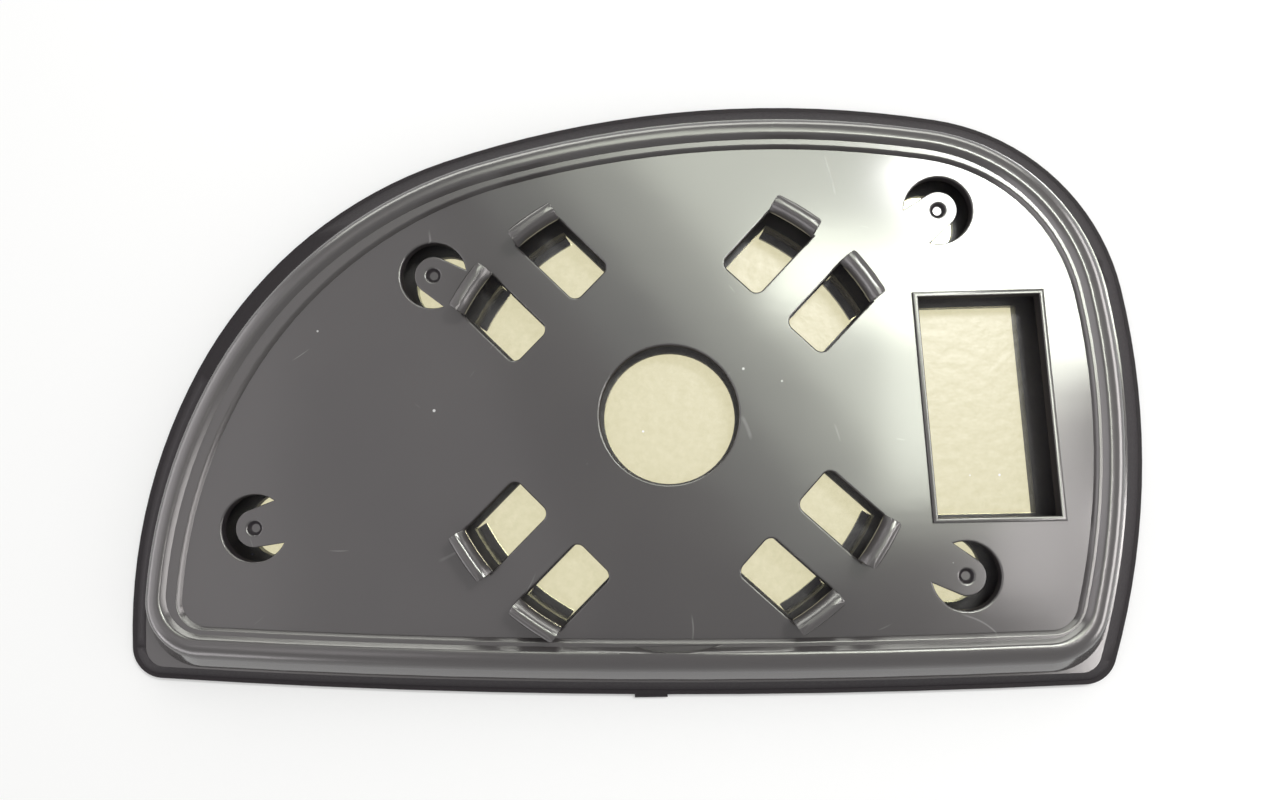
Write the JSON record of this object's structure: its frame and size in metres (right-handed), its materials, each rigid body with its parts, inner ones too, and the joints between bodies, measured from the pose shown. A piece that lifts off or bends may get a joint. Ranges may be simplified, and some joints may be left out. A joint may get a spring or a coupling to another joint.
{
  "type": "car door mirror glass",
  "caption": "Flat silvered door mirror glass snapped into a black moulded holder, its back with a ring of snap hooks, spring tongues, a centre hole and a leaning window.",
  "frame": {"origin": "centre of the round hole, on the back face of the holder's plate", "axes": "+Z out of the holder's back, towards the mirror actuator; +X along the mirror's length towards the blunt end; +Y towards the curved top edge"},
  "size_m": [0.1752, 0.1025, 0.0145],
  "materials": {
    "plastic": "semi-gloss black moulding",
    "mirror": "silvered flat glass"
  },
  "bodies": {
    "root": {"backing_plate": "plastic", "mirror_glass": "mirror"}
  },
  "joints": []
}
